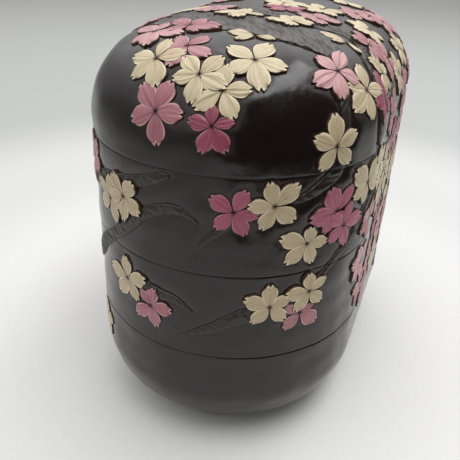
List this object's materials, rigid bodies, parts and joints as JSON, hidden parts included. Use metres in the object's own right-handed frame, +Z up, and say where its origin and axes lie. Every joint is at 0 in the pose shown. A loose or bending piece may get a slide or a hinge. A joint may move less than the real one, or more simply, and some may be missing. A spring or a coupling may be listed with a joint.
{
  "type": "stacking box",
  "caption": "Oval stacking lacquer box: a round-bottomed lower tier, two more tiers and a domed lid that sit on standing lips, carved with blossoms and branches.",
  "frame": {"origin": "centre of the flat face that the box rests on", "axes": "+X along the length, +Y across the width towards the side that the picture hides, +Z up through the lid"},
  "size_m": [0.233, 0.15, 0.2115],
  "materials": {
    "dark_lacquer": "glossy",
    "inner_lacquer": "satin",
    "cream_lacquer": "satin",
    "pink_lacquer": "satin",
    "deep_pink_lacquer": "satin"
  },
  "bodies": {
    "lower_tier": {"lower_bowl": "dark_lacquer", "lower_lip": "inner_lacquer"},
    "middle_tier": {"middle_wall": "dark_lacquer", "middle_floor": "inner_lacquer", "middle_lip": "inner_lacquer"},
    "upper_tier": {"upper_wall": "dark_lacquer", "upper_floor": "inner_lacquer", "upper_lip": "inner_lacquer"},
    "lid": {"lid": "dark_lacquer"}
  },
  "joints": [
    {"name": "middle_lift", "type": "slide", "parent": "lower_tier", "child": "middle_tier", "axis": [0, 0, 1], "range_m": [0, 0.06]},
    {"name": "upper_lift", "type": "slide", "parent": "middle_tier", "child": "upper_tier", "axis": [0, 0, 1], "range_m": [0, 0.06]},
    {"name": "lid_lift", "type": "slide", "parent": "upper_tier", "child": "lid", "axis": [0, 0, 1], "range_m": [0, 0.08]}
  ]
}
